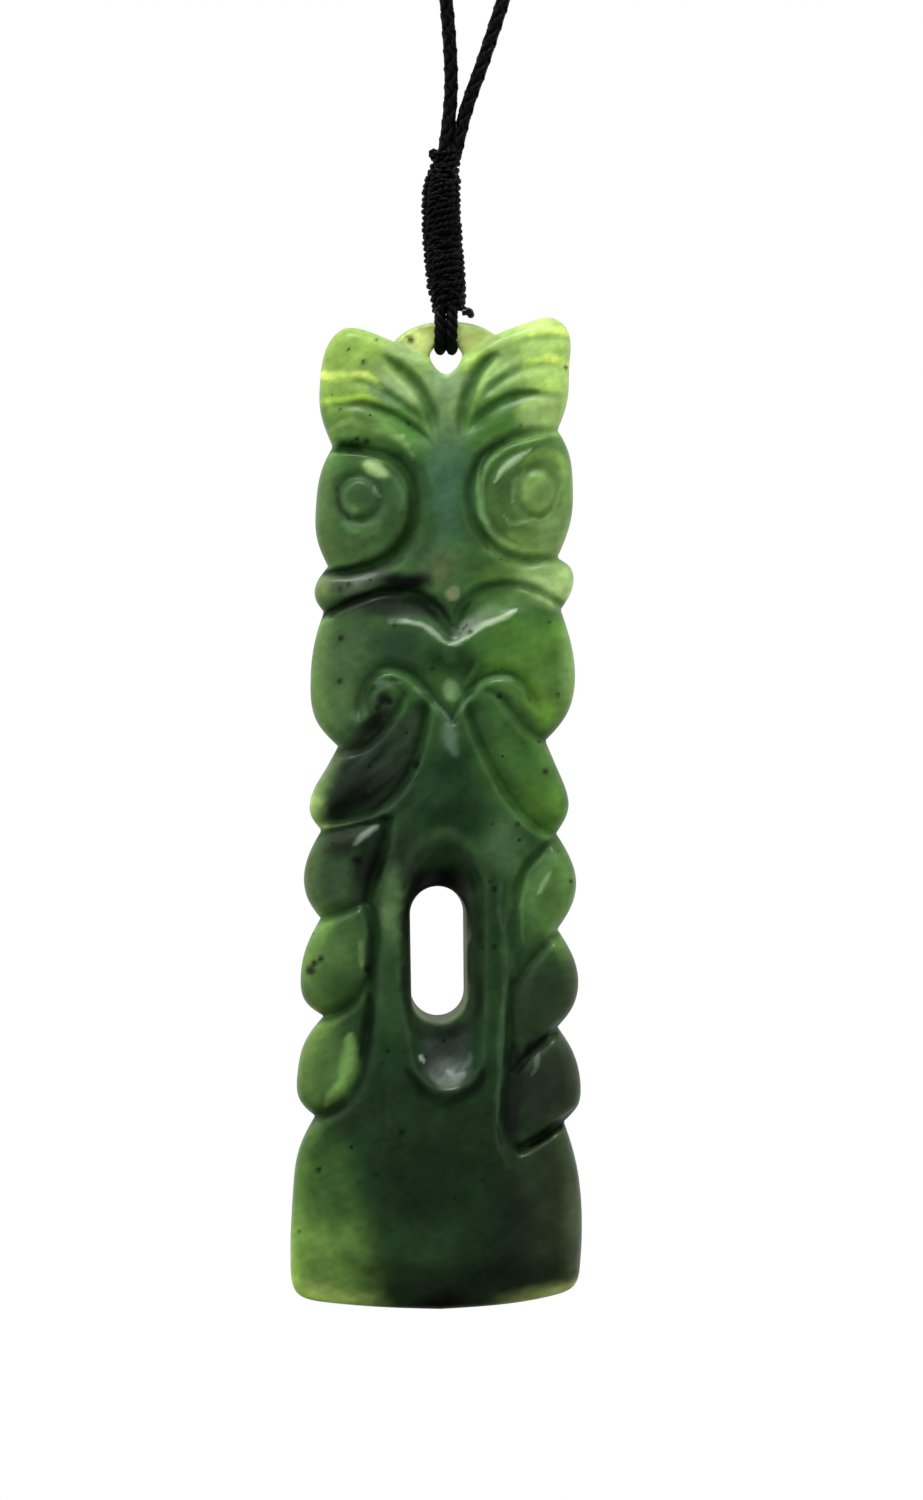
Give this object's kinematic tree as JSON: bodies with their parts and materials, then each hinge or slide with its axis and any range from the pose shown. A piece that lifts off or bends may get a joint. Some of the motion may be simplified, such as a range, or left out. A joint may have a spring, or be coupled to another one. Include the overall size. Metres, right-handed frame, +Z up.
{
  "type": "greenstone adze pendant on a neck cord",
  "caption": "Carved greenstone adze pendant with a face, leaf lobes and a slot, hung by a whipped cord loop from a waxed neck cord.",
  "frame": {"origin": "top middle of the neck loop, at the underside of the cord, where it rests on the back of the neck", "axes": "+Z up along the hanging pendant, +X to the viewer's right when the carved face is seen, the carved face looks along -Y"},
  "size_m": [0.0901, 0.007, 0.4305],
  "materials": {
    "greenstone": "polished translucent nephrite, lime green at the thin edges and black-green in the thick parts",
    "waxed_cord": "black waxed cord with a dull shine",
    "whipping_thread": "black waxed thread, wound and knotted"
  },
  "bodies": {
    "cords": {"neck_cord": "waxed_cord", "whipping": "whipping_thread", "hanging_loop_left": "waxed_cord", "hanging_loop_right": "waxed_cord", "thread_end": "whipping_thread"},
    "stone": {"pendant_stone": "greenstone"}
  },
  "joints": [
    {"name": "stone_swing", "type": "hinge", "parent": "cords", "child": "stone", "pos_m": [0, 0, -0.34032], "axis": [1, 0, 0], "range_deg": [-35, 35]}
  ]
}
